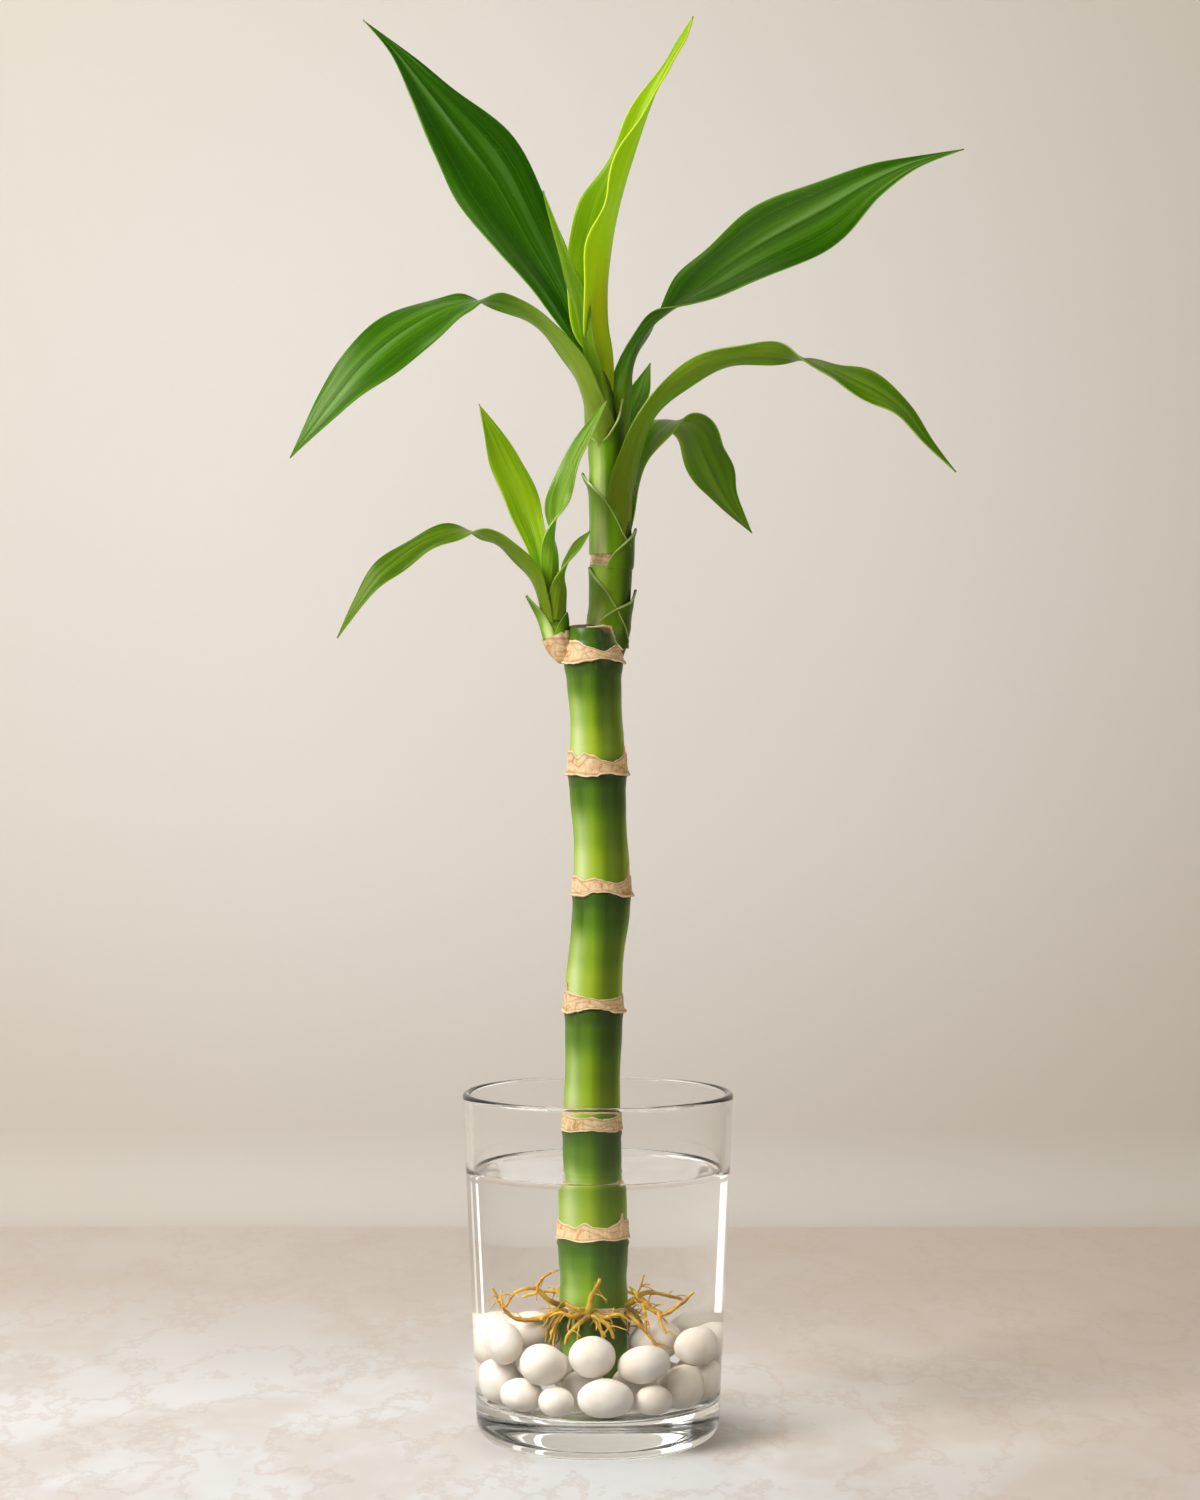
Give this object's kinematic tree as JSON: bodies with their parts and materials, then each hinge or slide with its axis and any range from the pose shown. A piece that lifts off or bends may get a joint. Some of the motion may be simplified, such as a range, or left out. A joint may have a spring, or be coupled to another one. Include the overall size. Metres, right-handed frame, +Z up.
{
  "type": "lucky bamboo in a glass vase",
  "caption": "Jointed green cane with two leafy shoots and arching leaves, standing with orange roots in water and white pebbles in a clear tapered glass.",
  "frame": {"origin": "middle of the tumbler's flat foot, on the surface it stands on", "axes": "+Z up along the cane, +X to the right and -Y to the front of the pictured view"},
  "size_m": [0.2247, 0.0926, 0.474],
  "materials": {
    "glass": "clear polished",
    "water": "clear",
    "cane": "waxy living skin, semi-gloss",
    "stem": "waxy living skin, semi-gloss",
    "leaf": "living leaf, satin",
    "young_leaf": "living leaf, satin",
    "dry_sheath": "dry papery bark, matt",
    "root": "living root, matt",
    "pebble": "smooth stone, satin"
  },
  "bodies": {
    "root": {"tumbler": "glass", "water": "water", "cane": "cane", "main_stem": "stem", "side_stem": "stem", "leaf_spear": "young_leaf", "leaf_young": "young_leaf", "leaf_upper_left": "leaf", "leaf_upper_right": "leaf", "leaf_arching_left": "leaf", "leaf_small_back": "leaf", "leaf_arching_right": "leaf", "leaf_low_back": "leaf", "side_leaf_upright": "leaf", "side_leaf_right": "leaf", "side_leaf_arching": "leaf", "side_leaf_small": "leaf", "sheath_ring_1": "dry_sheath", "sheath_ring_2": "dry_sheath", "sheath_ring_3": "dry_sheath", "sheath_ring_4": "dry_sheath", "sheath_ring_5": "dry_sheath", "sheath_ring_6": "dry_sheath", "sheath_ring_shoot": "dry_sheath", "pebble_01": "pebble", "pebble_02": "pebble", "pebble_03": "pebble", "pebble_04": "pebble", "pebble_05": "pebble", "pebble_06": "pebble", "pebble_07": "pebble", "pebble_08": "pebble", "pebble_09": "pebble", "pebble_10": "pebble", "pebble_11": "pebble", "pebble_12": "pebble", "pebble_13": "pebble", "pebble_14": "pebble", "pebble_15": "pebble", "pebble_16": "pebble", "pebble_17": "pebble", "pebble_18": "pebble", "pebble_19": "pebble", "pebble_20": "pebble", "pebble_21": "pebble", "pebble_22": "pebble", "pebble_23": "pebble", "pebble_24": "pebble", "pebble_25": "pebble", "pebble_26": "pebble", "pebble_27": "pebble", "pebble_28": "pebble", "pebble_29": "pebble", "pebble_30": "pebble", "pebble_31": "pebble", "roots": "root"}
  },
  "joints": []
}
